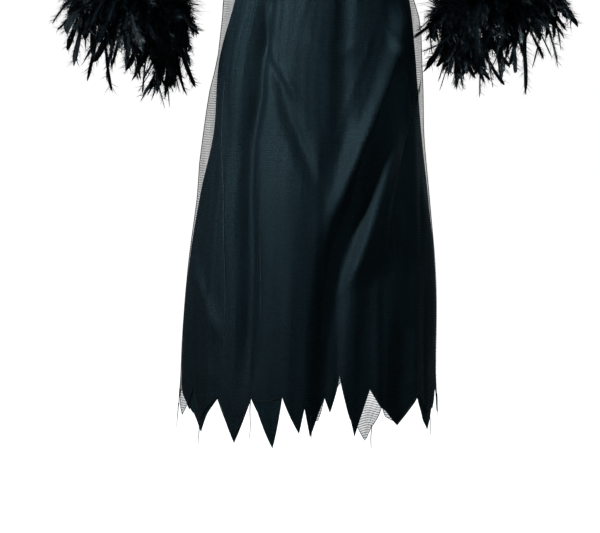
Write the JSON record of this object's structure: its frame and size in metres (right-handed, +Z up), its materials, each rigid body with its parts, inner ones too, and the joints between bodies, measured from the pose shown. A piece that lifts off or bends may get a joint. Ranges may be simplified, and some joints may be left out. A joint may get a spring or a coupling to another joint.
{
  "type": "child's witch costume dress",
  "caption": "Long-sleeved black witch dress with a sheer overskirt, hems cut in ragged points and feather boa cuffs.",
  "frame": {"origin": "midway between the shoulder seams, where the wearer's shoulders carry the dress", "axes": "+X towards the side that a viewer facing the dress has on the right, -Y out of the dress's front, +Z up"},
  "size_m": [0.7766, 0.3104, 1.1031],
  "materials": {
    "black_cloth": "dull satin, very dark blue-green black",
    "sheer_gauze": "sheer crisp black gauze",
    "black_feather": "fluffy black feathers with a faint sheen"
  },
  "bodies": {
    "root": {"bodice_front": "black_cloth", "bodice_back_left": "black_cloth", "bodice_back_right": "black_cloth", "sleeve_left": "black_cloth", "sleeve_right": "black_cloth", "skirt_front": "black_cloth", "skirt_back_left": "black_cloth", "skirt_back_right": "black_cloth", "overskirt_front": "sheer_gauze", "overskirt_back": "sheer_gauze", "feather_cuff_left": "black_feather", "feather_cuff_right": "black_feather"}
  },
  "joints": []
}
